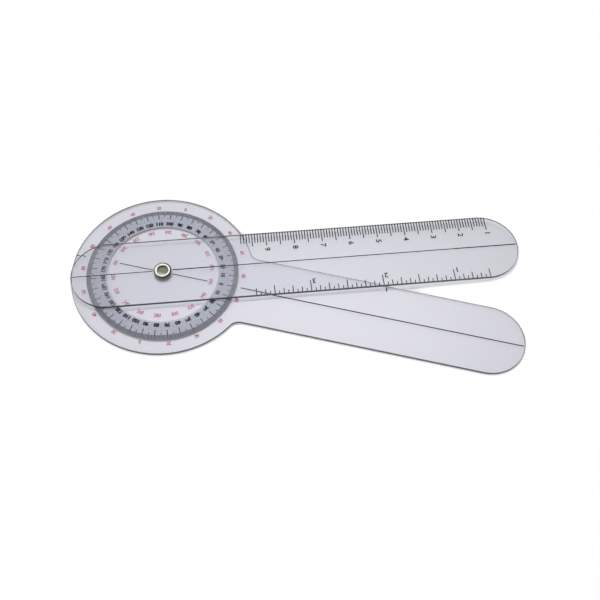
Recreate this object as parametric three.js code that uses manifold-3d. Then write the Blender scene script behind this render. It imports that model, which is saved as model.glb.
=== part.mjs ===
// Angle finder with arms: a clear plastic full-circle protractor for measuring the angle of a joint.
// A dial arm lies under a ruler arm, and one metal rivet through the middle of the dial joins them.
// Millimetres, +Z up. The origin is on the pivot axis, on the flat underside of the rivet's head,
// and +X runs along the dial arm, which is also the zero of its degree scale.
import * as THREE from 'three';
import { mergeGeometries, mergeVertices } from 'three/addons/utils/BufferGeometryUtils.js';
import Module from 'manifold-3d';

const wasm = await Module();
wasm.setup();

// Driving dimensions of the two blades
const DIAL_RADIUS = 31.6;
const ARM_WIDTH = 25.6;
const DIAL_ARM_REACH = 127;
const RULER_ARM_REACH = 127;
const RULER_TAIL_REACH = 31.6;
const SHEET_THICKNESS = 1.1;
const NECK_FILLET = 4;
const EDGE_CHAMFER = 0.12;
const BLADE_GAP = 0.3;
const REST_ANGLE_DEG = 18.54;

// The rivet: a solid head below, a tubular shank, and a rolled end above
const SHANK_RADIUS = 2.2;
const SHANK_CLEARANCE = 0.15;
const HEAD_RADIUS = 3.1;
const HEAD_HEIGHT = 0.35;
const HEAD_RIM_ROUND = 0.25;
const ROLL_RADIUS = 3.1;
const ROLL_HEIGHT = 0.6;
const ROLL_CLEARANCE = 0.1;
const TUBE_BORE_RADIUS = 1.85;
const TUBE_FLOOR_ABOVE_HEAD = 2.1;
const TUBE_POINT_DEPTH = 0.25;

// Graduations, pressed into the upper face of each blade
const MARK_DEPTH = 0.08;
const CUT_OVERRUN = 0.5;
const DEGREE_RING_RADIUS = 26.3;
const DEGREE_MARK_LENGTH = 1.6;
const FIVE_DEGREE_MARK_LENGTH = 2.4;
const TEN_DEGREE_MARK_LENGTH = 3.5;
const DEGREE_MARK_WIDTH = 0.25;
const TEN_DEGREE_MARK_WIDTH = 0.28;
const MILLIMETRE = 1;
const MILLIMETRE_MARK_LENGTH = 4;
const CENTIMETRE_MARK_LENGTH = 5.4;
const MILLIMETRE_MARK_WIDTH = 0.31;
const SIXTEENTH = 1.5875;
const SIXTEENTH_MARK_LENGTH = 1.2;
const EIGHTH_MARK_LENGTH = 2;
const QUARTER_MARK_LENGTH = 2.7;
const HALF_MARK_LENGTH = 3.4;
const INCH_MARK_LENGTH = 4.3;
const SIXTEENTH_MARK_WIDTH = 0.28;
const CENTRE_LINE_WIDTH = 0.3;
const CENTRE_LINE_END_MARGIN = 0.5;
const PIVOT_MARGIN = 0.3;
const DIAL_LINE_REACH = 14.2;
const DIAL_LINE_RING_MARGIN = 1.6;
const INDEX_MARK_LENGTH = 1.7;
const INDEX_MARK_WIDTH = 0.28;
const INDEX_MARK_FROM_END = 49.6;

// Counts of the scales and of the facets
const DEGREES_IN_TURN = 360;
const FIRST_MILLIMETRE_MARK = 10;
const LAST_MILLIMETRE_MARK = 99;
const FIRST_SIXTEENTH_MARK = 8;
const LAST_SIXTEENTH_MARK = 60;
const FACETS_PER_TURN = 144;
const FILLET_FACETS = 8;
const BORE_FACETS = 48;
const RIVET_FACETS = 48;
const ROLL_FACETS = 10;
const RIM_FACETS = 4;

// Levels, counted up from the underside of the rivet's head
const dialUnderside = HEAD_HEIGHT;
const rulerUnderside = dialUnderside + SHEET_THICKNESS + BLADE_GAP;
const rollUnderside = rulerUnderside + SHEET_THICKNESS + ROLL_CLEARANCE;
const rollTop = rollUnderside + ROLL_HEIGHT;

const halfWidth = ARM_WIDTH / 2;
const boreRadius = SHANK_RADIUS + SHANK_CLEARANCE;
const lineStart = Math.max(ROLL_RADIUS, HEAD_RADIUS) + PIVOT_MARGIN;
const quarterTurn = Math.PI / 2;

// Points along a round stretch of an outline, turning from one angle to another
function arcPoints(centreX, centreY, radius, fromAngle, toAngle, steps) {
  const points = [];
  for (let i = 0; i <= steps; i++) {
    const angle = fromAngle + ((toAngle - fromAngle) * i) / steps;
    points.push(new THREE.Vector2(centreX + radius * Math.cos(angle), centreY + radius * Math.sin(angle)));
  }
  return points;
}

function stepsFor(fromAngle, toAngle) {
  return Math.max(2, Math.round((Math.abs(toAngle - fromAngle) / (2 * Math.PI)) * FACETS_PER_TURN));
}

// Dial and arm in one outline: the arm's sides run into the dial by a concave fillet at the neck
function dialArmOutline() {
  const filletX = Math.sqrt((DIAL_RADIUS + NECK_FILLET) ** 2 - (halfWidth + NECK_FILLET) ** 2);
  const filletY = halfWidth + NECK_FILLET;
  const neckAngle = Math.atan2(filletY, filletX);
  const capX = DIAL_ARM_REACH - halfWidth;
  const dialEnd = 2 * Math.PI - neckAngle;
  return [
    ...arcPoints(capX, 0, halfWidth, -quarterTurn, quarterTurn, stepsFor(0, Math.PI)),
    ...arcPoints(filletX, filletY, NECK_FILLET, -quarterTurn, neckAngle - Math.PI, FILLET_FACETS),
    ...arcPoints(0, 0, DIAL_RADIUS, neckAngle, dialEnd, stepsFor(neckAngle, dialEnd)).slice(1, -1),
    ...arcPoints(filletX, -filletY, NECK_FILLET, Math.PI - neckAngle, quarterTurn, FILLET_FACETS),
  ];
}

// The ruler arm is a straight strip with a round end past the pivot and another at its free end
function rulerArmOutline() {
  const capX = RULER_ARM_REACH - halfWidth;
  const tailX = halfWidth - RULER_TAIL_REACH;
  const steps = stepsFor(0, Math.PI);
  return [
    ...arcPoints(capX, 0, halfWidth, -quarterTurn, quarterTurn, steps),
    ...arcPoints(tailX, 0, halfWidth, quarterTurn, 3 * quarterTurn, steps),
  ];
}

// A flat blade with the pivot bore, its edges broken all round
function bladeGeometry(outline) {
  const shape = new THREE.Shape(outline);
  const bore = arcPoints(0, 0, boreRadius, 0, -2 * Math.PI, BORE_FACETS).slice(0, -1);
  shape.holes.push(new THREE.Path(bore));
  const geometry = new THREE.ExtrudeGeometry(shape, {
    depth: SHEET_THICKNESS - 2 * EDGE_CHAMFER,
    bevelEnabled: true,
    bevelThickness: EDGE_CHAMFER,
    bevelSize: EDGE_CHAMFER,
    bevelOffset: -EDGE_CHAMFER,
    bevelSegments: 1,
  });
  return geometry.translate(0, 0, EDGE_CHAMFER);
}

// One pressed mark: a bar from one distance to another along its own direction from a centre
function markBar(from, to, width, angle, offset = 0) {
  const height = MARK_DEPTH + CUT_OVERRUN;
  const bar = new THREE.BoxGeometry(to - from, width, height);
  bar.translate((from + to) / 2, offset, SHEET_THICKNESS - MARK_DEPTH + height / 2);
  return bar.rotateZ(angle);
}

// The degree scale runs right round the dial, one mark a degree, longer at the fives and the tens
function degreeMarks() {
  const marks = [];
  for (let degree = 0; degree < DEGREES_IN_TURN; degree++) {
    const isTen = degree % 10 === 0;
    const isFive = degree % 5 === 0;
    const width = isTen ? TEN_DEGREE_MARK_WIDTH : DEGREE_MARK_WIDTH;
    let length = isFive ? FIVE_DEGREE_MARK_LENGTH : DEGREE_MARK_LENGTH;
    if (isTen) length = TEN_DEGREE_MARK_LENGTH;
    const angle = (degree / DEGREES_IN_TURN) * 2 * Math.PI;
    marks.push(markBar(DEGREE_RING_RADIUS - length, DEGREE_RING_RADIUS, width, angle));
  }
  return marks;
}

// Lines on the dial arm's axis: both sides of the pivot, across the dial's margin, and down the arm
function dialArmLines() {
  const ringMargin = DEGREE_RING_RADIUS + DIAL_LINE_RING_MARGIN;
  const armEnd = DIAL_ARM_REACH - CENTRE_LINE_END_MARGIN;
  const indexX = DIAL_ARM_REACH - INDEX_MARK_FROM_END;
  return [
    markBar(lineStart, DIAL_LINE_REACH, CENTRE_LINE_WIDTH, 0),
    markBar(lineStart, DIAL_LINE_REACH, CENTRE_LINE_WIDTH, Math.PI),
    markBar(ringMargin, DIAL_RADIUS + CUT_OVERRUN, CENTRE_LINE_WIDTH, Math.PI),
    markBar(ringMargin, armEnd, CENTRE_LINE_WIDTH, 0),
    markBar(halfWidth - INDEX_MARK_LENGTH, halfWidth + CUT_OVERRUN, INDEX_MARK_WIDTH, quarterTurn, -indexX),
  ];
}

// Half the ruler's width at a distance from the pivot, less where its free end rounds off
function rulerHalfWidthAt(reach) {
  const pastCap = Math.max(0, reach - (RULER_ARM_REACH - halfWidth));
  return Math.sqrt(Math.max(0, halfWidth ** 2 - pastCap ** 2));
}

// A mark that starts at one long edge of the ruler and runs in towards its centre line
function edgeMark(reach, length, width, side) {
  const edge = rulerHalfWidthAt(reach);
  const offset = side > 0 ? -reach : reach;
  return markBar(edge - length, edge + CUT_OVERRUN, width, side * quarterTurn, offset);
}

// Millimetres along one edge, counted from the free end
function millimetreMarks() {
  const marks = [];
  for (let count = FIRST_MILLIMETRE_MARK; count <= LAST_MILLIMETRE_MARK; count++) {
    const reach = RULER_ARM_REACH - count * MILLIMETRE;
    const length = count % 5 === 0 ? CENTIMETRE_MARK_LENGTH : MILLIMETRE_MARK_LENGTH;
    marks.push(edgeMark(reach, length, MILLIMETRE_MARK_WIDTH, 1));
  }
  return marks;
}

// Sixteenths of an inch along the other edge, counted from the free end
function sixteenthMarks() {
  const lengths = [
    [16, INCH_MARK_LENGTH],
    [8, HALF_MARK_LENGTH],
    [4, QUARTER_MARK_LENGTH],
    [2, EIGHTH_MARK_LENGTH],
    [1, SIXTEENTH_MARK_LENGTH],
  ];
  const marks = [];
  for (let count = FIRST_SIXTEENTH_MARK; count <= LAST_SIXTEENTH_MARK; count++) {
    const [, length] = lengths.find(([step]) => count % step === 0);
    const reach = RULER_ARM_REACH - count * SIXTEENTH;
    marks.push(edgeMark(reach, length, SIXTEENTH_MARK_WIDTH, -1));
  }
  return marks;
}

// The ruler's centre line, broken at the rivet
function rulerLines() {
  const freeEnd = RULER_ARM_REACH - CENTRE_LINE_END_MARGIN;
  const tailEnd = RULER_TAIL_REACH - CENTRE_LINE_END_MARGIN;
  return [
    markBar(lineStart, freeEnd, CENTRE_LINE_WIDTH, 0),
    markBar(lineStart, tailEnd, CENTRE_LINE_WIDTH, Math.PI),
  ];
}

function toSolid(geometry) {
  const bare = geometry.index ? geometry.toNonIndexed() : geometry.clone();
  bare.deleteAttribute('normal');
  bare.deleteAttribute('uv');
  const merged = mergeVertices(bare);
  return new wasm.Manifold(new wasm.Mesh({
    numProp: 3,
    vertProperties: new Float32Array(merged.attributes.position.array),
    triVerts: new Uint32Array(merged.index.array),
  }));
}

function fromSolid(solid) {
  const mesh = solid.getMesh();
  const geometry = new THREE.BufferGeometry();
  geometry.setAttribute('position', new THREE.BufferAttribute(mesh.vertProperties, 3));
  geometry.setIndex(new THREE.BufferAttribute(mesh.triVerts, 1));
  geometry.computeVertexNormals();
  return geometry;
}

// All the marks of a blade are pressed at once; none of them touches another
function markedBlade(outline, marks) {
  const blade = toSolid(bladeGeometry(outline));
  const presses = toSolid(mergeGeometries(marks));
  return fromSolid(blade.subtract(presses));
}

// Half section of the rivet, from the axis under its head round to the axis in its tube
function rivetProfile() {
  const rollSectionX = (ROLL_RADIUS + TUBE_BORE_RADIUS) / 2;
  const rollSectionRadius = (ROLL_RADIUS - TUBE_BORE_RADIUS) / 2;
  const rollStretch = ROLL_HEIGHT / rollSectionRadius;
  const tubeFloor = HEAD_HEIGHT + TUBE_FLOOR_ABOVE_HEAD;
  const rimX = HEAD_RADIUS - HEAD_RIM_ROUND;
  const rim = arcPoints(rimX, HEAD_RIM_ROUND, HEAD_RIM_ROUND, -quarterTurn, 0, RIM_FACETS);
  const roll = arcPoints(rollSectionX, 0, rollSectionRadius, 0, Math.PI, ROLL_FACETS);
  for (const point of roll) point.y = rollUnderside + point.y * rollStretch;
  return [
    new THREE.Vector2(0, 0),
    ...rim,
    new THREE.Vector2(HEAD_RADIUS, HEAD_HEIGHT),
    new THREE.Vector2(SHANK_RADIUS, HEAD_HEIGHT),
    new THREE.Vector2(SHANK_RADIUS, rollUnderside),
    ...roll,
    new THREE.Vector2(TUBE_BORE_RADIUS, tubeFloor),
    new THREE.Vector2(0, tubeFloor - TUBE_POINT_DEPTH),
  ];
}

function rivetGeometry() {
  const geometry = new THREE.LatheGeometry(rivetProfile(), RIVET_FACETS);
  return geometry.rotateX(quarterTurn);
}

function clearPlastic(color) {
  return new THREE.MeshStandardMaterial({ color, roughness: 0.18, metalness: 0 });
}

function nickelPlate() {
  return new THREE.MeshStandardMaterial({ color: 0xc9c5bb, roughness: 0.28, metalness: 1 });
}

function namedMesh(name, geometry, material) {
  const mesh = new THREE.Mesh(geometry, material);
  mesh.name = name;
  return mesh;
}

const group = new THREE.Group();

const dialMarks = [...degreeMarks(), ...dialArmLines()];
const dialArm = namedMesh('dial_arm', markedBlade(dialArmOutline(), dialMarks), clearPlastic(0xd6d9e4));
dialArm.position.z = dialUnderside;
group.add(dialArm);

group.add(namedMesh('pivot_rivet', rivetGeometry(), nickelPlate()));

// The ruler arm turns about the pivot axis, and rests where the photograph has it
const rulerSide = new THREE.Group();
rulerSide.rotation.z = THREE.MathUtils.degToRad(REST_ANGLE_DEG);
const rulerMarks = [...millimetreMarks(), ...sixteenthMarks(), ...rulerLines()];
const rulerArm = namedMesh('ruler_arm', markedBlade(rulerArmOutline(), rulerMarks), clearPlastic(0xdfe1e6));
rulerArm.position.z = rulerUnderside;
rulerSide.add(rulerArm);
group.add(rulerSide);

export default group;
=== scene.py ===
# %% [markdown]
# # An angle finder in clear plastic
# Two clear blades turn on one metal rivet. The lower blade is a round dial with an arm, and a straight ruler
# lies over it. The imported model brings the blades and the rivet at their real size, and nothing here moves
# them. This lesson gives them their finishes, fills the pressed marks with ink, prints the numbers and the
# tinted ring, and lights and frames the whole as the photograph does.

# %% The fixed frame
import math
from collections import namedtuple

import bmesh
import bpy
from mathutils import Matrix, Vector


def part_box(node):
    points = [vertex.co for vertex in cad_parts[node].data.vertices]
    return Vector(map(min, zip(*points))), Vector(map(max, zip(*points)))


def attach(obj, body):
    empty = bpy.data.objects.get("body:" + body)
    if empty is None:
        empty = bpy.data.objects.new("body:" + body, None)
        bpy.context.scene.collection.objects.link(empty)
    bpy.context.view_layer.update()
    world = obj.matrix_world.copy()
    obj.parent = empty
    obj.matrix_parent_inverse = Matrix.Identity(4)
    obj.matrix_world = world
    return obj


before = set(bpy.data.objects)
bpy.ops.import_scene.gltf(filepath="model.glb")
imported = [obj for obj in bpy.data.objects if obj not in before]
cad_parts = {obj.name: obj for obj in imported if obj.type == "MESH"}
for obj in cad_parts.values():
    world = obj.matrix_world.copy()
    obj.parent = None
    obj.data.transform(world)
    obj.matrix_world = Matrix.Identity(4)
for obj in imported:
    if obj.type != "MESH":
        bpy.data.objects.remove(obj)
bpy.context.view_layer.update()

print("nodes:", sorted(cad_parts))

# %% [markdown]
# Every size follows the frame where the frame holds it. The two upper faces, the dial's radius and the arm's
# reach are read from the boxes of the nodes. The sizes of the marks are those that the blades were pressed
# with, so that the ink fits its grooves.

# %% Sizes read from the frame, in metres
MM = 0.001
dial_low, dial_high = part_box("dial_arm")
ruler_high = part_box("ruler_arm")[1]
rivet_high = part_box("pivot_rivet")[1]
DIAL_FACE = dial_high.z
RULER_FACE = ruler_high.z
DIAL_RADIUS = -dial_low.y
ARM_REACH = dial_high.x
ARM_WIDTH = 25.6 * MM
REST_ANGLE = math.radians(18.54)
print("dial face %.2f mm, ruler face %.2f mm, radius %.2f mm, reach %.2f mm"
      % (DIAL_FACE / MM, RULER_FACE / MM, DIAL_RADIUS / MM, ARM_REACH / MM))

# %% [markdown]
# The camera repeats the photographer's. Its place, turn and focal length were worked out from the scale
# marks on the ruler, whose real spacing is known, and from the outlines of both blades.

# %% The camera
PICTURE_WIDTH = 600
CAMERA_AZIMUTH = math.radians(8.540)
CAMERA_ELEVATION = math.radians(59.667)
CAMERA_ROLL = math.radians(4.131)
CAMERA_AIM = Vector((48.75 * MM, 1.08 * MM, 0))
CAMERA_DISTANCE = 306.76 * MM
FOCAL_PIXELS = 884.42
SENSOR_WIDTH = 36.0
NEAREST_SEEN = 0.01


def camera_axes():
    """Right, up and forward, with the roll about the line of sight."""
    level = math.cos(CAMERA_ELEVATION)
    forward = Vector((-math.sin(CAMERA_AZIMUTH) * level, math.cos(CAMERA_AZIMUTH) * level,
                      -math.sin(CAMERA_ELEVATION)))
    right = Vector((math.cos(CAMERA_AZIMUTH), math.sin(CAMERA_AZIMUTH), 0))
    up = right.cross(forward)
    rolled_right = right * math.cos(CAMERA_ROLL) + up * math.sin(CAMERA_ROLL)
    rolled_up = up * math.cos(CAMERA_ROLL) - right * math.sin(CAMERA_ROLL)
    return rolled_right, rolled_up, forward


right, up, forward = camera_axes()
lens = bpy.data.cameras.new("studio_camera")
lens.sensor_width = SENSOR_WIDTH
lens.lens = FOCAL_PIXELS / PICTURE_WIDTH * SENSOR_WIDTH
lens.clip_start = NEAREST_SEEN
camera = bpy.data.objects.new("studio_camera", lens)
bpy.context.scene.collection.objects.link(camera)
turn = Matrix((right, up, -forward)).transposed().to_4x4()
camera.matrix_world = Matrix.Translation(CAMERA_AIM - forward * CAMERA_DISTANCE) @ turn
bpy.context.scene.camera = camera
print("camera at", [round(x / MM, 1) for x in camera.location], "lens %.2f mm" % lens.lens)

# %% [markdown]
# Shader maths could be built node by node, but a dozen Math nodes hide what they work out. It reads best as a
# plain sum, so one small class wraps an output socket, and `1 - mask * 0.5` adds its nodes by itself.

# %% Values that can be added and compared


class Value:
    """An output socket that can be added, multiplied and compared."""

    def __init__(self, finish, socket):
        self.finish, self.socket = finish, socket

    def maths(self, operation, *others):
        return self.finish.maths(operation, self, *others)

    def __add__(self, other):
        return self.maths("ADD", other)

    def __mul__(self, other):
        return self.maths("MULTIPLY", other)

    def __sub__(self, other):
        return self.maths("SUBTRACT", other)

    def __rsub__(self, other):
        return self.finish.maths("SUBTRACT", other, self)

    def __gt__(self, other):
        return self.maths("GREATER_THAN", other)

    def __lt__(self, other):
        return self.maths("LESS_THAN", other)

    __radd__ = __add__
    __rmul__ = __mul__

    def between(self, low, high, start=0.0, end=1.0):
        """A soft step from start at low to end at high."""
        settings = {"interpolation_type": "SMOOTHSTEP"}
        sockets = {"Value": self, "From Min": low, "From Max": high, "To Min": start, "To Max": end}
        return self.finish.add("ShaderNodeMapRange", settings, sockets)["Result"]


class Outputs:
    """The outputs of one node, by name or by number."""

    def __init__(self, finish, node):
        self.finish, self.node = finish, node

    def __getitem__(self, key):
        return Value(self.finish, self.node.outputs[key])


# %% [markdown]
# A finish is a material, or the world, and its nodes are added one by one. One method makes any node. It sets
# the settings first, because they decide which sockets a node has, and then fills the sockets. Patterns read
# Object coordinates in millimetres, so they stay on their piece when it turns. Noise seldom leaves the range
# from 0.3 to 0.7, so a pattern that shall use all of it is spread over that range.

# %% Finishes
NOISE_RANGE = (0.3, 0.7)


class Finish:
    """A material, or the world, whose nodes are added one by one."""

    def __init__(self, name, owner=None):
        self.owner = owner or bpy.data.materials.new(name)
        self.owner.use_nodes = True
        self.tree = self.owner.node_tree
        self.tree.nodes.clear()

    def add(self, kind, settings=None, sockets=None):
        node = self.tree.nodes.new(kind)
        for name, setting in (settings or {}).items():
            setattr(node, name, setting)
        for key, given in (sockets or {}).items():
            if isinstance(given, Value):
                self.tree.links.new(given.socket, node.inputs[key])
            else:
                node.inputs[key].default_value = given
        return Outputs(self, node)

    def maths(self, operation, *terms):
        return self.add("ShaderNodeMath", {"operation": operation}, dict(enumerate(terms)))["Value"]

    def parts(self, vector):
        return self.add("ShaderNodeSeparateXYZ", None, {"Vector": vector})

    def place(self, scale=(1, 1, 1), turn=0.0):
        """Object coordinates in millimetres, stretched and turned about Z."""
        coordinates = self.add("ShaderNodeTexCoord")["Object"]
        stretched = tuple(MM / share for share in scale)
        sockets = {"Vector": coordinates, "Rotation": (0, 0, turn), "Scale": stretched}
        return self.add("ShaderNodeMapping", {"vector_type": "TEXTURE"}, sockets)["Vector"]

    def noise(self, place, scale, detail, roughness=0.5):
        sockets = {"Vector": place, "Scale": scale, "Detail": detail, "Roughness": roughness}
        return self.add("ShaderNodeTexNoise", None, sockets)["Fac"]

    def blend(self, factor, first, second):
        """A colour that goes from first to second."""
        colours = {0: factor, 6: first, 7: second}
        return self.add("ShaderNodeMix", {"data_type": "RGBA"}, colours)[2]

    def bump(self, height, strength, distance):
        sockets = {"Height": height, "Strength": strength, "Distance": distance}
        return self.add("ShaderNodeBump", None, sockets)["Normal"]

    def principled(self, sockets):
        return self.add("ShaderNodeBsdfPrincipled", None, sockets)["BSDF"]

    def see_through(self, colour):
        return self.add("ShaderNodeBsdfTransparent", None, {"Color": colour})["BSDF"]

    def mix(self, factor, first, second):
        """A surface that goes from first to second."""
        return self.add("ShaderNodeMixShader", None, {0: factor, 1: first, 2: second})["Shader"]

    def show(self, surface, volume=None):
        sockets = {"Surface": surface}
        if volume:
            sockets["Volume"] = volume
        self.add("ShaderNodeOutputMaterial", None, sockets)
        return self.owner


# %% [markdown]
# The table in the photograph is white wherever the object isn't. Here the floor is a pale diffuse sheet, and
# for what the camera sees, in mirrors and through plastic too, most of it is white light of its own. Where
# the object lies over it, that light goes, and the plain sheet is left with the shadows on it. An Ambient
# Occlusion node finds those places, because it measures how much of the sky is open. Its normal leans, so
# that the cover also takes in the strip past a far edge, which shows through the raised blade. Light that has
# bounced off something dull meets the plain sheet only. From below the floor is clear, so that the underside
# of the part can be looked at.

# %% Floor
WHITE = (1, 1, 1, 1)
FLOOR_COLOUR = (0.70, 0.70, 0.73, 1)
FLOOR_OWN_LIGHT = 1.20
FLOOR_OWN_SHARE = 0.64
COVER_LEAN = math.radians(16)
COVER_TURN = math.radians(10)
COVER_REACH = 12 * MM
COVER_SAMPLES = 32
COVER_EDGE = (0.61, 0.70)
FLOOR_SIZE = 6.0
FLOOR_DROP = 0.01 * MM


def seen_by_camera(finish):
    """1 for rays from the camera, also past gloss and clear plastic, and 0 after a dull bounce."""
    path = finish.add("ShaderNodeLightPath")
    seen = path["Is Camera Ray"] + path["Is Glossy Ray"] + path["Is Transmission Ray"]
    return (seen > 0.5) * (path["Diffuse Depth"] < 0.5)


def floor_finish():
    finish = Finish("pale_floor")
    sheet = finish.add("ShaderNodeBsdfDiffuse", None, {"Color": FLOOR_COLOUR})["BSDF"]
    white = finish.add("ShaderNodeEmission", None, {"Color": WHITE, "Strength": FLOOR_OWN_LIGHT})["Emission"]
    aside = math.sin(COVER_LEAN)
    leaned = {"X": -aside * math.sin(COVER_TURN), "Y": -aside * math.cos(COVER_TURN),
              "Z": math.cos(COVER_LEAN)}
    lean = finish.add("ShaderNodeCombineXYZ", None, leaned)["Vector"]
    settings = {"samples": COVER_SAMPLES, "inside": False}
    sockets = {"Distance": COVER_REACH, "Normal": lean}
    open_sky = finish.add("ShaderNodeAmbientOcclusion", settings, sockets)["AO"]
    share = seen_by_camera(finish) * open_sky.between(*COVER_EDGE, end=FLOOR_OWN_SHARE)
    below = finish.add("ShaderNodeNewGeometry")["Backfacing"]
    return finish.show(finish.mix(below, finish.mix(share, sheet, white), finish.see_through(WHITE)))


bm = bmesh.new()
bmesh.ops.create_grid(bm, x_segments=1, y_segments=1, size=FLOOR_SIZE)
bmesh.ops.translate(bm, vec=(0, 0, -FLOOR_DROP), verts=bm.verts)
floor_mesh = bpy.data.meshes.new("floor")
bm.to_mesh(floor_mesh)
bm.free()
floor_mesh.materials.append(floor_finish())
floor = bpy.data.objects.new("floor", floor_mesh)
bpy.context.scene.collection.objects.link(floor)
print("floor", 2 * FLOOR_SIZE, "m across")

# %% [markdown]
# The world is white for the camera, for gloss and for clear plastic, and much dimmer as light, so that it
# fills the shadows and doesn't wash them out. The blades also mirror a large soft panel that hangs over the
# table. A lamp could be it, but would show hard corners in the gloss. So it is a field with soft borders,
# drawn by the direction in which the world is met, and only gloss sees it.

# %% World
WORLD_LEVEL = 0.22
SOFT_FIELD_LEVEL = 0.3
FIELD_LEFT, FIELD_RIGHT = (-0.75, -0.40), (0.17, 0.05)
FIELD_NEAR, FIELD_FAR = (0.15, 0.40), (0.61, 0.48)


def studio_world():
    finish = Finish("studio", bpy.data.worlds.new("studio"))
    way = finish.parts(finish.add("ShaderNodeTexCoord")["Generated"])
    field = way["Y"].between(*FIELD_FAR) * way["Y"].between(*FIELD_NEAR)
    field = field * way["X"].between(*FIELD_RIGHT) * way["X"].between(*FIELD_LEFT) * (way["Z"] > 0)
    glossy = finish.add("ShaderNodeLightPath")["Is Glossy Ray"]
    level = seen_by_camera(finish) * (1 - WORLD_LEVEL) + WORLD_LEVEL + glossy * field * SOFT_FIELD_LEVEL
    sky = finish.add("ShaderNodeBackground", None, {"Color": WHITE, "Strength": level})["Background"]
    finish.add("ShaderNodeOutputWorld", None, {"Surface": sky})
    return finish.owner


bpy.context.scene.world = studio_world()
bpy.context.scene.view_settings.view_transform = "Standard"
print("world", bpy.context.scene.world.name)

# %% [markdown]
# The main lamp hangs high behind the object, so its soft shadows fall towards the camera. A weaker one on the
# left opens them. Two round beams with soft borders make the lighter patch that the arms have in the
# photograph. Each lamp is given by how bright it alone makes a white floor where it aims, as a share of full
# white, which is easier to judge than watts. None of them shows in gloss or through plastic.

# %% Lamps
SoftLamp = namedtuple("SoftLamp", "name place size share")
RoundBeam = namedtuple("RoundBeam", "name place aim width share")
SOFT_LAMPS = (SoftLamp("key_lamp", Vector((-0.05, 0.19, 1.0)), 0.40, 0.70),
              SoftLamp("left_lamp", Vector((-0.80, -0.25, 0.9)), 0.50, 0.08))
ROUND_BEAMS = (
    RoundBeam("middle_lamp", Vector((0.055, 0.08, 0.6)), Vector((0.055, -0.015, 0)), math.radians(18), 0.19),
    RoundBeam("arm_lamp", Vector((0.072, 0.09, 0.6)), Vector((0.072, 0.006, 0)), math.radians(10), 0.16))
BEAM_LAMP_RADIUS = 0.06
BEAM_SOFTNESS = 1.0


def hang(lamp, place, ray):
    """Hang a lamp at a place, with the ray from its aim to it as its axis."""
    holder = bpy.data.objects.new(lamp.name, lamp)
    holder.matrix_world = Matrix.Translation(place) @ ray.to_track_quat("Z", "Y").to_matrix().to_4x4()
    holder.visible_transmission = holder.visible_glossy = False
    bpy.context.scene.collection.objects.link(holder)


for name, place, size, share in SOFT_LAMPS:
    lamp = bpy.data.lights.new(name, "AREA")
    lamp.size = size
    lamp.energy = share * math.pi ** 2 * place.length_squared * place.length / place.z
    hang(lamp, place, place)
for name, place, aim, width, share in ROUND_BEAMS:
    lamp = bpy.data.lights.new(name, "SPOT")
    lamp.spot_size, lamp.spot_blend, lamp.shadow_soft_size = width, BEAM_SOFTNESS, BEAM_LAMP_RADIUS
    ray = place - aim
    lamp.energy = share * 4 * math.pi ** 2 * ray.length_squared
    hang(lamp, place, ray)

# %% [markdown]
# The blades are cut from clear sheet. A face seen square on passes most of the light and looks faintly
# lavender. Light that runs along the sheet to an edge goes through far more plastic, so the edges look dark.
# Real absorption in the volume does both at once.
#
# The saw also left the walls dull. A mask finds them, because their normals lie flat, and mixes in a dark
# dull surface. Its darkness is partly the matte sawn edge and partly painted shade and dark reflection.
# The far edge of the arm and the left rim of the dial get less of it, and the drilled bores aren't sawn.
# A normal turns round when a wall is seen from inside the plastic, so Backfacing turns it back.

# %% Sawn walls
# The walls' dark colour: partly the matte sawn edge, partly painted shade and dark reflection.
SAWN_EDGE_SHADE_COLOUR = (0.10, 0.11, 0.12, 1)
SAWN_ROUGHNESS = 0.5
SAWN_AND_SHADE_SHARE = 0.8
WALL_NORMAL, FACE_NORMAL = 0.75, 0.95
FAR_SIDE = (0.1, 0.5)
LIGHTER_EDGE_BY = 0.45
LIGHTER_EDGE_WITHIN = 1.0
LEFT_RIM = (-26, -30.5)
BORE_ZONE = 3.2
NOWHERE = 1000


def sawn_walls(finish, lighter_edge_from, left_by):
    """The share of the sawn surface and its painted shade. Past a reach along X, in millimetres, the far edge
    gets less.
    """
    normal = finish.parts(finish.add("ShaderNodeTexCoord")["Normal"])
    spot = finish.parts(finish.place())
    outwards = 1 - finish.add("ShaderNodeNewGeometry")["Backfacing"] * 2
    # Less painted shade on the far edge past that reach, and less on the dial's left rim.
    smooth = spot["X"].between(lighter_edge_from, lighter_edge_from + LIGHTER_EDGE_WITHIN)
    smooth = smooth * (normal["Y"] * outwards).between(*FAR_SIDE)
    left = spot["X"].between(*LEFT_RIM) * left_by
    bore = spot["X"] * spot["X"] + spot["Y"] * spot["Y"] < BORE_ZONE ** 2
    wall = normal["Z"].maths("ABSOLUTE").between(WALL_NORMAL, FACE_NORMAL, 1.0, 0.0)
    return wall * (SAWN_AND_SHADE_SHARE - smooth * LIGHTER_EDGE_BY - left) * (1 - bore)


# %% [markdown]
# The faces are polished, with smudges and fine hairlines along the blade, which barely roughen the gloss.
# Bent light is slow to find a lamp and leaves grains in the render. So shadow rays and dull bounces go
# straight through the sheet, and only the camera and gloss see it bend.

# %% Clear plastic
PLASTIC_BEND = 1.49
PLASTIC_DENSITY = 28
POLISHED, SMUDGED = 0.01, 0.04
SMUDGE_EDGE = (0.45, 0.75)
HAIRLINE_STRETCH = (0.05, 2.2, 1)
PASSED_LIGHT = (0.98, 0.98, 0.99, 1)
STOPPED_LIGHT = (0.05, 0.05, 0.05, 1)


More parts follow.
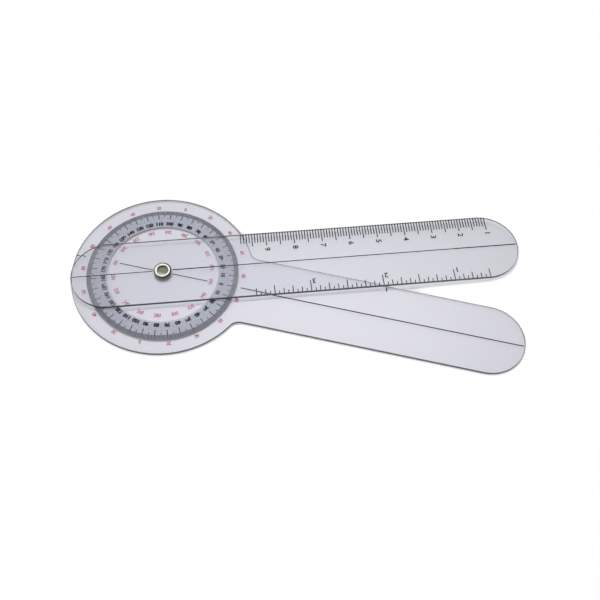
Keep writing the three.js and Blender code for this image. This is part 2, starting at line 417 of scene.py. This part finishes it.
def clear_plastic(name, tint, absorbed, turn, lighter_edge_from=NOWHERE, left_by=0.0):
    finish = Finish(name)
    smudge = finish.noise(finish.place(), scale=0.08, detail=3.0)
    hairline = finish.noise(finish.place(HAIRLINE_STRETCH, turn), scale=1.6, detail=2.0)
    skin = finish.principled({
        "Base Color": tint,
        "Transmission Weight": 1.0,
        "IOR": PLASTIC_BEND,
        "Roughness": smudge.between(*SMUDGE_EDGE, POLISHED, SMUDGED),
        "Normal": finish.bump(hairline, strength=0.05, distance=0.01 * MM),
    })
    # The sawn walls, with their painted shade.
    edge_surface_with_shade = finish.principled({"Base Color": SAWN_EDGE_SHADE_COLOUR, "Roughness": SAWN_ROUGHNESS})
    wall = sawn_walls(finish, lighter_edge_from, left_by)
    passed = finish.mix(wall, finish.see_through(PASSED_LIGHT), finish.see_through(STOPPED_LIGHT))
    path = finish.add("ShaderNodeLightPath")
    unbent = path["Is Shadow Ray"] + path["Is Diffuse Ray"] > 0.5
    sockets = {"Color": absorbed, "Density": PLASTIC_DENSITY}
    body = finish.add("ShaderNodeVolumeAbsorption", None, sockets)["Volume"]
    return finish.show(finish.mix(unbent, finish.mix(wall, skin, edge_surface_with_shade), passed), body)


# %% [markdown]
# Both blades are of the same kind of sheet. The dial's is a little more lavender and the ruler's a little
# greyer. Only the finish is new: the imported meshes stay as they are.

# %% Both blades
DIAL_TINT, DIAL_ABSORBS = (0.975, 0.97, 1.0, 1), (0.10, 0.10, 0.20, 1)
RULER_TINT, RULER_ABSORBS = (0.925, 0.935, 0.95, 1), (0.10, 0.12, 0.18, 1)
# Past this reach the arm's far edge gets less painted shade, and the dial's left rim less by this share.
ARM_LIGHTER_EDGE_FROM = 23.2
LEFT_RIM_BY = 0.32


def dress(node, finish):
    """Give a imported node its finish. Its mesh stays as it is."""
    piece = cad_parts[node]
    for slot in piece.material_slots:
        slot.material = finish
    print(node, "dressed in", finish.name)


dial_plastic = clear_plastic("clear_dial_plastic", DIAL_TINT, DIAL_ABSORBS, 0, ARM_LIGHTER_EDGE_FROM, LEFT_RIM_BY)
ruler_plastic = clear_plastic("clear_ruler_plastic", RULER_TINT, RULER_ABSORBS, REST_ANGLE)
dress("dial_arm", dial_plastic)
dress("ruler_arm", ruler_plastic)

# %% [markdown]
# Black marks are stamped with foil, which leaves a dull film at the bottom of each groove. It is a little
# uneven, with paler specks where the foil didn't take. The red print is the same, but thinner.

# %% Inks
BLACK, WORN_BLACK = (0.018, 0.018, 0.024, 1), (0.06, 0.06, 0.075, 1)
RED, WORN_RED = (0.34, 0.02, 0.11, 1), (0.48, 0.09, 0.20, 1)
INK_GLOSS = 0.2
SPECK_EDGE = (0.50, 0.72)
ROUGHER_BY = 0.2


def stamped_ink(name, colour, worn, roughness):
    finish = Finish(name)
    speck = finish.noise(finish.place(), scale=3.0, detail=4.0, roughness=0.6).between(*SPECK_EDGE)
    patch = finish.noise(finish.place(), scale=0.35, detail=2.0)
    return finish.show(finish.principled({
        "Base Color": finish.blend(speck, colour, worn),
        "Roughness": patch.between(*NOISE_RANGE, roughness, roughness + ROUGHER_BY),
        "Specular IOR Level": INK_GLOSS,
        "Normal": finish.bump(speck, strength=0.2, distance=0.01 * MM),
    }))


black_ink = stamped_ink("black_ink", BLACK, WORN_BLACK, roughness=0.45)
red_ink = stamped_ink("red_ink", RED, WORN_RED, roughness=0.5)
print("inks:", black_ink.name, red_ink.name)

# %% [markdown]
# The tinted ring is a thin grey print that hides about half of what is under it. It throws a shadow on the
# table, which shows through the clear plastic as a darker rim.

# %% Ring print
RING_DARK, RING_PALE = (0.475, 0.49, 0.575, 1), (0.545, 0.56, 0.65, 1)
RING_THIN, RING_THICK = 0.50, 0.58
RING_ROUGHNESS = 0.5


def ring_print():
    finish = Finish("ring_tint")
    grain = finish.noise(finish.place(), scale=1.4, detail=4.0, roughness=0.6)
    return finish.show(finish.principled({
        "Base Color": finish.blend(grain.between(*NOISE_RANGE), RING_DARK, RING_PALE),
        "Roughness": RING_ROUGHNESS,
        "Alpha": grain.between(*NOISE_RANGE, RING_THIN, RING_THICK),
    }))


ring_tint = ring_print()
print("ring print:", ring_tint.name)

# %% [markdown]
# New pieces end the same way: their doubles are merged, their faces turned outwards, and they are hung on
# the body of the blade that carries them. Marks and numbers throw only a faint blur on a real table, which is
# left out here, because it would come out as grains.

# %% Finishing a piece
SAME_SPOT = 0.0005 * MM


def finish_piece(bm, name, finish, body, shadow=False):
    bmesh.ops.remove_doubles(bm, verts=bm.verts, dist=SAME_SPOT)
    bmesh.ops.recalc_face_normals(bm, faces=bm.faces)
    for face in bm.faces:
        face.smooth = False
    mesh = bpy.data.meshes.new(name)
    bm.to_mesh(mesh)
    bm.free()
    mesh.materials.append(finish)
    piece = bpy.data.objects.new(name, mesh)
    piece.visible_shadow = shadow
    bpy.context.scene.collection.objects.link(piece)
    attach(piece, body)
    print(name, "has", len(mesh.polygons), "faces on", body)


# %% [markdown]
# Each pressed groove is 0.08 mm deep and holds a bar of ink, a hair smaller than the groove. A bar is a unit
# cube, stretched, moved out along its own direction and turned about the pivot, all in one matrix. The marks
# of the ruler are turned by the rest angle on top of that. Hot foil also spreads past the lips and the end of
# its groove. That ink is a bar as well, but only as thick as print, and it lies on the face.

# %% Bars and films of ink
GROOVE_DEPTH = 0.08 * MM
INK_PLAY = 0.005 * MM
INK_BELOW_FACE = 0.01 * MM
PRINT_THICKNESS = 0.008 * MM
PRINT_LIFT = 0.002 * MM


def turned_bar(bm, middle, size, angle):
    turned = Matrix.Rotation(angle, 4, "Z")
    bmesh.ops.create_cube(bm, size=1, matrix=turned @ Matrix.Translation(middle) @ Matrix.Diagonal(size))


def ink_bar(bm, near, far, width, angle, across=0.0, face=DIAL_FACE, blade_turn=0.0,
            rise=-INK_BELOW_FACE):
    """A bar of ink from near to far, along a line that leaves the pivot at an angle."""
    height = GROOVE_DEPTH - INK_PLAY + rise
    middle = Vector(((near + far) / 2, across, face + rise - height / 2))
    size = Vector((far - near - 2 * INK_PLAY, width - 2 * INK_PLAY, height, 1))
    turned_bar(bm, middle, size, blade_turn + angle)


def film_bar(bm, near, far, width, angle, across=0.0, face=DIAL_FACE, blade_turn=0.0):
    """Ink that spread past the lips or the end of a groove and lies on the face."""
    middle = Vector(((near + far) / 2, across, face + PRINT_LIFT + PRINT_THICKNESS / 2))
    size = Vector((far - near + 2 * INK_PLAY, width, PRINT_THICKNESS, 1))
    turned_bar(bm, middle, size, blade_turn + angle)


# %% [markdown]
# The dial has a mark for each of its 360 degrees, in three lengths, all ending on one circle. They cross the
# tinted ring, so their ink stands up through its print, and the film on top is only a little wider.

# %% Degree marks
DEGREE_RING_RADIUS = 26.3 * MM
DEGREE_MARK_LENGTH = 1.6 * MM
FIVE_DEGREE_MARK_LENGTH = 2.4 * MM
TEN_DEGREE_MARK_LENGTH = 3.5 * MM
DEGREE_MARK_WIDTH = 0.25 * MM
TEN_DEGREE_MARK_WIDTH = 0.28 * MM
SPREAD_DEGREE_BY = 0.012 * MM
ABOVE_RING = 2 * PRINT_THICKNESS

bm = bmesh.new()
for degree in range(360):
    width = DEGREE_MARK_WIDTH if degree % 10 else TEN_DEGREE_MARK_WIDTH
    length = DEGREE_MARK_LENGTH if degree % 5 else FIVE_DEGREE_MARK_LENGTH
    if degree % 10 == 0:
        length = TEN_DEGREE_MARK_LENGTH
    span = (DEGREE_RING_RADIUS - length, DEGREE_RING_RADIUS)
    ink_bar(bm, *span, width, math.radians(degree), rise=ABOVE_RING)
    film_bar(bm, *span, width + SPREAD_DEGREE_BY, math.radians(degree), face=DIAL_FACE + ABOVE_RING)
finish_piece(bm, "degree_mark_ink", black_ink, "dial_side")

# %% [markdown]
# A line runs along the axis of the dial and its arm, with gaps for the rivet and the numbers. Inside the ring
# its print ends past the groove on both sides, and on the arm it is wider. Films over the ink do both.

# %% Lines on the axis of the dial arm
LINE_WIDTH = 0.3 * MM
LINE_START = 3.4 * MM
DIAL_LINE_REACH = 14.2 * MM
RIGHT_LINE_REACH = 16.1 * MM
LEFT_LINE_REACH = 15.6 * MM
RING_MARGIN = 1.6 * MM
ARM_LINE_START = DEGREE_RING_RADIUS + RING_MARGIN
LINE_END_MARGIN = 0.5 * MM
SPREAD_LINE_WIDTH = 0.38 * MM
SPREAD_ARM_LINE_WIDTH = 0.42 * MM

bm = bmesh.new()
for angle, reach in ((0, RIGHT_LINE_REACH), (math.pi, LEFT_LINE_REACH)):
    ink_bar(bm, LINE_START, DIAL_LINE_REACH, LINE_WIDTH, angle)
    film_bar(bm, LINE_START, reach, SPREAD_LINE_WIDTH, angle)
ink_bar(bm, ARM_LINE_START, DIAL_RADIUS - INK_PLAY, LINE_WIDTH, math.pi)
ink_bar(bm, ARM_LINE_START, ARM_REACH - LINE_END_MARGIN, LINE_WIDTH, 0)
film_bar(bm, ARM_LINE_START, ARM_REACH - LINE_END_MARGIN, SPREAD_ARM_LINE_WIDTH, 0)
print("lines on the axis:", len(bm.faces), "faces so far")

# %% [markdown]
# A short index mark stands on the far edge of the arm. Its print starts a little inside that edge and leans
# against its groove, so the film over it is turned about its own middle. It joins the lines in one piece.

# %% Index mark
INDEX_MARK_LENGTH = 1.7 * MM
INDEX_MARK_WIDTH = 0.28 * MM
INDEX_MARK_FROM_END = 49.6 * MM
INDEX_MARK_INSET = 0.6 * MM
INDEX_FILM_WIDTH = 0.40 * MM
INDEX_FILM_TURN = math.radians(8)

index_x, index_far = INDEX_MARK_FROM_END - ARM_REACH, ARM_WIDTH / 2 - INDEX_MARK_INSET
ink_bar(bm, ARM_WIDTH / 2 - INDEX_MARK_LENGTH, index_far, INDEX_MARK_WIDTH, math.pi / 2, across=index_x)
half = INDEX_MARK_LENGTH / 2
film_middle, film_across = Matrix.Rotation(-INDEX_FILM_TURN, 2) @ Vector((index_far - half, index_x))
film_bar(bm, film_middle - half, film_middle + half, INDEX_FILM_WIDTH, math.pi / 2 + INDEX_FILM_TURN,
         across=film_across)
finish_piece(bm, "dial_line_ink", black_ink, "dial_side")

# %% [markdown]
# The ruler has millimetres on its far edge and sixteenths of an inch on its near one. Both count from its
# free end, and each mark starts at the edge, also where the end begins to round off. The length of an inch
# mark depends on the largest step that it belongs to.

# %% Scales of the ruler
MILLIMETRE_MARKS = range(10, 100)
MILLIMETRE_MARK_LENGTH = 4.0 * MM
CENTIMETRE_MARK_LENGTH = 5.4 * MM
MILLIMETRE_MARK_WIDTH = 0.31 * MM
INCH = 25.4 * MM
SIXTEENTH = INCH / 16
SIXTEENTH_MARKS = range(8, 61)
SIXTEENTH_LENGTHS = ((16, 4.3 * MM), (8, 3.4 * MM), (4, 2.7 * MM), (2, 2.0 * MM), (1, 1.2 * MM))
SIXTEENTH_MARK_WIDTH = 0.28 * MM
SPREAD_BY = 0.045 * MM
SPREAD_INSET = 0.3 * MM


def ruler_half_width(reach):
    """Half the ruler's width there, less where its free end rounds off."""
    past_cap = max(0.0, reach - (ARM_REACH - ARM_WIDTH / 2))
    return math.sqrt((ARM_WIDTH / 2) ** 2 - past_cap ** 2)


def edge_mark(bm, reach, length, width, side):
    """A mark that starts at a long edge of the ruler: side 1 for the far edge, -1 for the near one."""
    edge = ruler_half_width(reach)
    place = (side * math.pi / 2, -side * reach, RULER_FACE, REST_ANGLE)
    ink_bar(bm, edge - length, edge, width, *place)
    film_bar(bm, edge - length, edge - SPREAD_INSET, width + SPREAD_BY, *place)


bm = bmesh.new()
for count in MILLIMETRE_MARKS:
    length = MILLIMETRE_MARK_LENGTH if count % 5 else CENTIMETRE_MARK_LENGTH
    edge_mark(bm, ARM_REACH - count * MM, length, MILLIMETRE_MARK_WIDTH, 1)
finish_piece(bm, "millimetre_mark_ink", black_ink, "ruler_side")

bm = bmesh.new()
for count in SIXTEENTH_MARKS:
    length = next(length for step, length in SIXTEENTH_LENGTHS if count % step == 0)
    edge_mark(bm, ARM_REACH - count * SIXTEENTH, length, SIXTEENTH_MARK_WIDTH, -1)
finish_piece(bm, "inch_mark_ink", black_ink, "ruler_side")

# %% [markdown]
# The ruler's centre line runs from end to end, with a gap for the rivet. Its ink spread most next to the
# rivet and at the free end, so three films of different widths follow each other over the groove.

# %% Centre line of the ruler
LINE_FILMS = ((18 * MM, 0.43 * MM), (104 * MM, 0.35 * MM), (ARM_REACH - LINE_END_MARGIN, 0.44 * MM))

bm = bmesh.new()
ink_bar(bm, LINE_START, ARM_REACH - LINE_END_MARGIN, LINE_WIDTH, 0, 0, RULER_FACE, REST_ANGLE)
ink_bar(bm, LINE_START, DIAL_RADIUS - LINE_END_MARGIN, LINE_WIDTH, math.pi, 0, RULER_FACE, REST_ANGLE)
near = LINE_START
for far, width in LINE_FILMS:
    film_bar(bm, near, far, width, 0, 0, RULER_FACE, REST_ANGLE)
    near = far
finish_piece(bm, "ruler_line_ink", black_ink, "ruler_side")

# %% [markdown]
# The ring is a flat washer of print on the dial's face. Two circles are bridged into a flat ring, and that is
# extruded upwards by the thickness of the print, which closes it all round.

# %% Tinted ring
RING_INNER_RADIUS = 19.4 * MM
RING_SEGMENTS = 180


def raise_faces(bm, faces, height):
    """Extrude flat faces straight up into a closed plate."""
    raised = bmesh.ops.extrude_face_region(bm, geom=faces)["geom"]
    corners = [part for part in raised if isinstance(part, bmesh.types.BMVert)]
    bmesh.ops.translate(bm, vec=(0, 0, height), verts=corners)


bm = bmesh.new()
lift = Matrix.Translation((0, 0, DIAL_FACE + PRINT_LIFT))
rims = []
for radius in (RING_INNER_RADIUS, DEGREE_RING_RADIUS):
    circle = bmesh.ops.create_circle(bm, segments=RING_SEGMENTS, radius=radius, matrix=lift)
    rims += list({edge for vert in circle["verts"] for edge in vert.link_edges})
flat = bmesh.ops.bridge_loops(bm, edges=rims)["faces"]
raise_faces(bm, flat, PRINT_THICKNESS)
bmesh.ops.reverse_faces(bm, faces=flat)
finish_piece(bm, "ring_print", ring_tint, "dial_side", shadow=True)

# %% [markdown]
# Numbers come from a text object, which is turned into a mesh while it still lies at the origin. The mesh of
# a text has long thin faces, and once its doubles are merged some of them overlap, as in a 4. So only its
# outline is kept, filled again, and extruded into a thin plate. Plain figures on a scale are all that is
# printed here.

# %% The mesh of a number
FONT_SIZE = 10 * MM
GLYPH_DETAIL = 0.02 * MM
GLYPH_DEPTH = 0.5 * MM
CURVE_STEPS = 3
BOLD, BOLD_SPACING = 0.03, 0.92
word_cache = {}


def number_mesh(word, weight):
    """A thin closed mesh of the word, with its own size."""
    if (word, weight) in word_cache:
        return word_cache[word, weight]
    letters = bpy.data.curves.new("number", "FONT")
    letters.body = word
    letters.size = FONT_SIZE
    letters.resolution_u = CURVE_STEPS
    letters.offset = weight * FONT_SIZE
    letters.fill_mode = "FRONT"
    letters.space_character = BOLD_SPACING if weight > BOLD else 1.0
    holder = bpy.data.objects.new("number", letters)
    bpy.context.scene.collection.objects.link(holder)
    bpy.context.view_layer.update()
    depsgraph = bpy.context.evaluated_depsgraph_get()
    mesh = bpy.data.meshes.new_from_object(holder.evaluated_get(depsgraph))
    bpy.data.objects.remove(holder)
    bm = bmesh.new()
    bm.from_mesh(mesh)
    bmesh.ops.remove_doubles(bm, verts=bm.verts, dist=GLYPH_DETAIL)
    rim = [edge for edge in bm.edges if len(edge.link_faces) == 1]
    inner = [edge for edge in bm.edges if len(edge.link_faces) > 1]
    bmesh.ops.delete(bm, geom=bm.faces[:], context="FACES_ONLY")
    bmesh.ops.delete(bm, geom=inner, context="EDGES")
    bmesh.ops.triangle_fill(bm, edges=rim, use_beauty=True)
    raise_faces(bm, bm.faces[:], GLYPH_DEPTH)
    bmesh.ops.recalc_face_normals(bm, faces=bm.faces)
    bm.to_mesh(mesh)
    bm.free()
    word_cache[word, weight] = mesh
    return mesh


# %% [markdown]
# A number is scaled to its printed height by what its mesh measures, squeezed or widened, and set in place
# with its top towards a direction. A lettering holds what the numbers of one scale share: their height, their
# width against the plain font's, and their weight.

# %% Printing a number
Lettering = namedtuple("Lettering", "height squeeze weight")


def print_number(bm, word, centre, top_angle, lettering, face):
    """Print a number with its centre at a point of a face and its top towards an angle."""
    mesh = number_mesh(word, lettering.weight)
    corners = [vert.co for vert in mesh.vertices]
    low = Vector([min(corner[axis] for corner in corners) for axis in range(3)])
    high = Vector([max(corner[axis] for corner in corners) for axis in range(3)])
    size = high - low
    scale = lettering.height / size.y
    shape = Matrix.Diagonal((scale * lettering.squeeze, scale, PRINT_THICKNESS / size.z, 1))
    to_origin = Matrix.Translation(-(low + high) / 2)
    level = face + PRINT_LIFT + PRINT_THICKNESS / 2
    turned = Matrix.Rotation(top_angle - math.pi / 2, 4, "Z")
    place = Matrix.Translation((centre.x, centre.y, level)) @ turned
    before = len(bm.verts)
    bm.from_mesh(mesh)
    bm.verts.ensure_lookup_table()
    bmesh.ops.transform(bm, matrix=place @ shape @ to_origin, verts=bm.verts[before:])


def on_ray(radius, angle):
    return Vector((radius * math.cos(angle), radius * math.sin(angle)))


# %% [markdown]
# The black numbers count from 0 to 180 on both halves of the dial, on top of the ring's print. They are fat
# and a little blurred in the photograph, as print is that moved on the press. Four strikes of each number, a
# few hundredths of a millimetre apart, give the same.

# %% Black numbers of the half scales
BLACK_NUMBER_RADIUS = 20.8 * MM
BLACK_LETTERING = Lettering(height=1.5 * MM, squeeze=1.04, weight=0.05)
BLACK_NUMBER_SHIFT = Vector((0.17 * MM, 0))
STRIKES = [Vector(step) * MM for step in ((0.045, 0), (-0.045, 0), (0, 0.035), (0, -0.035))]
NUMBER_FACE = DIAL_FACE + PRINT_LIFT + PRINT_THICKNESS

bm = bmesh.new()
for degree in range(0, 360, 10):
    word = str(min(degree, 360 - degree))
    angle = math.radians(degree)
    for strike in STRIKES:
        centre = on_ray(BLACK_NUMBER_RADIUS, angle) + BLACK_NUMBER_SHIFT + strike
        print_number(bm, word, centre, angle, BLACK_LETTERING, NUMBER_FACE)
finish_piece(bm, "black_numbers", black_ink, "dial_side")

# %% [markdown]
# Red numbers count all the way round inside the ring, with their tops towards the rivet. Outside the ring
# they count away from square in quarters, with their tops outwards. The outer print is shifted a little
# towards the arm, and a few of its numbers stray in or out.

# %% Red numbers of the full scale and of the outer quarter scales
INNER_RED_RADIUS = 17.1 * MM
INNER_RED_LETTERING = Lettering(height=1.4 * MM, squeeze=0.86, weight=0.016)
OUTER_RED_RADIUS = 27.9 * MM
OUTER_RED_LETTERING = Lettering(height=1.4 * MM, squeeze=0.84, weight=0.022)
OUTER_RED_SHIFT = Vector((0.25 * MM, 0))
OUTER_RED_STRAYS = {30: 0.6 * MM, 50: 0.5 * MM, 70: 0.4 * MM, 350: -0.1 * MM}

bm = bmesh.new()
for degree in range(0, 360, 20):
    word = str(360 - degree) if degree < 180 else str(degree)
    angle = math.radians(degree)
    centre = on_ray(INNER_RED_RADIUS, angle)
    print_number(bm, word, centre, angle + math.pi, INNER_RED_LETTERING, DIAL_FACE)
finish_piece(bm, "inner_red_numbers", red_ink, "dial_side")

bm = bmesh.new()
for degree in range(10, 360, 20):
    from_square = min(abs(degree - 90), abs(degree - 270))
    angle = math.radians(degree)
    centre = on_ray(OUTER_RED_RADIUS + OUTER_RED_STRAYS.get(degree, 0), angle) + OUTER_RED_SHIFT
    print_number(bm, str(from_square), centre, angle, OUTER_RED_LETTERING, DIAL_FACE)
finish_piece(bm, "outer_red_numbers", red_ink, "dial_side")

# %% [markdown]
# The centimetre numbers lie inside their long marks, with their tops towards the free end. The inch numbers
# lie beside their marks, with their tops towards the near edge.

# %% Numbers of the ruler
CENTIMETRES, INCHES = range(1, 10), range(1, 4)
CENTIMETRE_NUMBER_OFFSET = 5.7 * MM
CENTIMETRE_NUMBER_PAST_MARK = 0.15 * MM
CENTIMETRE_LETTERING = Lettering(height=2.0 * MM, squeeze=1.12, weight=0.025)
INCH_NUMBER_OFFSET = -8.85 * MM
INCH_NUMBER_PAST_MARK = 1.3 * MM
INCH_LETTERING = Lettering(height=2.0 * MM, squeeze=1.1, weight=0.02)


def on_ruler(along, across):
    """A point of the ruler at rest, from its own directions."""
    return Matrix.Rotation(REST_ANGLE, 2) @ Vector((along, across))


bm = bmesh.new()
for centimetre in CENTIMETRES:
    reach = ARM_REACH - centimetre * 10 * MM + CENTIMETRE_NUMBER_PAST_MARK
    centre = on_ruler(reach, CENTIMETRE_NUMBER_OFFSET)
    print_number(bm, str(centimetre), centre, REST_ANGLE, CENTIMETRE_LETTERING, RULER_FACE)
for inch in INCHES:
    reach = ARM_REACH - inch * INCH + INCH_NUMBER_PAST_MARK
    centre = on_ruler(reach, INCH_NUMBER_OFFSET)
    print_number(bm, str(inch), centre, REST_ANGLE - math.pi / 2, INCH_LETTERING, RULER_FACE)
finish_piece(bm, "ruler_numbers", black_ink, "ruler_side")

# %% [markdown]
# The rivet is one pressed piece of nickel-plated metal, and the imported shape is used as it is. The crest of
# the rolled end stays bright. Its outer rim is painted dark, more so on the far side, as painted shade and a
# dark reflection where the roll curves down to the ruler. The blind hole is painted dull: its wall dark, as
# painted shade, and its olive floor lighter on the near side and painted darker towards the far side. The
# shank and the upper face of the head are seen through clear plastic only, and are painted a flat light grey
# instead of nickel, as painted soft shade. The sizes here are in millimetres, as the patterns are.

# %% Rivet
ROLL_TOP = rivet_high.z / MM
RIM_EDGE = (2.52, 2.70)
RIM_LEAN = 0.07
RIM_DEPTH = 0.8
HOLE_EDGE = (1.80, 2.00)
HOLE_MOUTH, HOLE_SHADE, HOLE_DEPTH = 0.15, 0.5, 1.5
HOLE_FLOOR = (-1.1, -0.3)
WALL_TO_FLOOR = (0.3, 0.8)
UNDER_PLASTIC = (dial_low.z / MM - 0.05, ROLL_TOP - 0.9)
WEAR_EDGE = (0.35, 0.7)
PLATE_ROUGHNESS = (0.12, 0.26)
RIM_AND_HOLE_ROUGHNESS = 0.25
HOLE_DULLED_BY, RIM_DULLED_BY = 0.5, 0.4
NEW_PLATE, WORN_PLATE = (0.93, 0.92, 0.90, 1), (0.72, 0.70, 0.65, 1)
# The rim's dark colour is painted shade; the grey is painted soft shade on the plate under plastic.
RIM_PAINTED_SHADE, SHANK_GREY = (0.05, 0.047, 0.042, 1), (0.62, 0.62, 0.64, 1)
# The bore's floor, lighter olive on the near side and painted shade on the far, and its wall painted dark as
# shade.
FLOOR_OLIVE, FLOOR_SHADED = (0.50, 0.49, 0.37, 1), (0.20, 0.195, 0.14, 1)
BORE_WALL_PAINTED_SHADE = (0.02, 0.018, 0.014, 1)


def nickel_plate():
    finish = Finish("nickel_plate")
    place = finish.place()
    spot = finish.parts(place)
    across = (spot["X"] * spot["X"] + spot["Y"] * spot["Y"]).maths("SQRT")
    height = spot["Z"]
    # The outer rim, painted dark as shade, wider on the far side.
    rim = (across + spot["Y"] * RIM_LEAN).between(*RIM_EDGE) * (height > ROLL_TOP - RIM_DEPTH)
    in_hole = across.between(*HOLE_EDGE, 1.0, 0.0)
    in_hole = in_hole * height.between(ROLL_TOP - HOLE_SHADE, ROLL_TOP - HOLE_MOUTH, 1.0, 0.0)
    in_hole = in_hole * (height > ROLL_TOP - HOLE_DEPTH)
    lowest, highest = UNDER_PLASTIC
    # Where plastic covers the plate, it is painted a flat light grey instead of nickel, as painted soft
    # shade.
    inside = (height < highest) * (height > lowest)
    upright = finish.parts(finish.add("ShaderNodeTexCoord")["Normal"])["Z"].maths("ABSOLUTE")
    wear = finish.noise(place, scale=1.2, detail=4.0, roughness=0.6)
    # Random wear of the plate, with painted shade on the rim.
    worn = finish.blend(rim, finish.blend(wear.between(*WEAR_EDGE), NEW_PLATE, WORN_PLATE), RIM_PAINTED_SHADE)
    # The bore's floor is painted darker towards the far side, and its wall dark, both as painted shade.
    bore_floor_light_and_shade = finish.blend(spot["Y"].between(*HOLE_FLOOR), FLOOR_OLIVE, FLOOR_SHADED)
    bore_painted_shade = finish.blend(upright.between(*WALL_TO_FLOOR), BORE_WALL_PAINTED_SHADE, bore_floor_light_and_shade)
    metal = 1 - in_hole * HOLE_DULLED_BY - rim * RIM_DULLED_BY
    return finish.show(finish.principled({
        "Base Color": finish.blend(in_hole, finish.blend(inside, worn, SHANK_GREY), bore_painted_shade),
        "Metallic": metal * (1 - inside * (1 - in_hole)),
        "Roughness": wear.between(*NOISE_RANGE, *PLATE_ROUGHNESS) + (in_hole + rim) * RIM_AND_HOLE_ROUGHNESS,
        "Normal": finish.bump(finish.noise(place, scale=2.5, detail=3.0), strength=0.25, distance=0.02 * MM),
    }))


dress("pivot_rivet", nickel_plate())
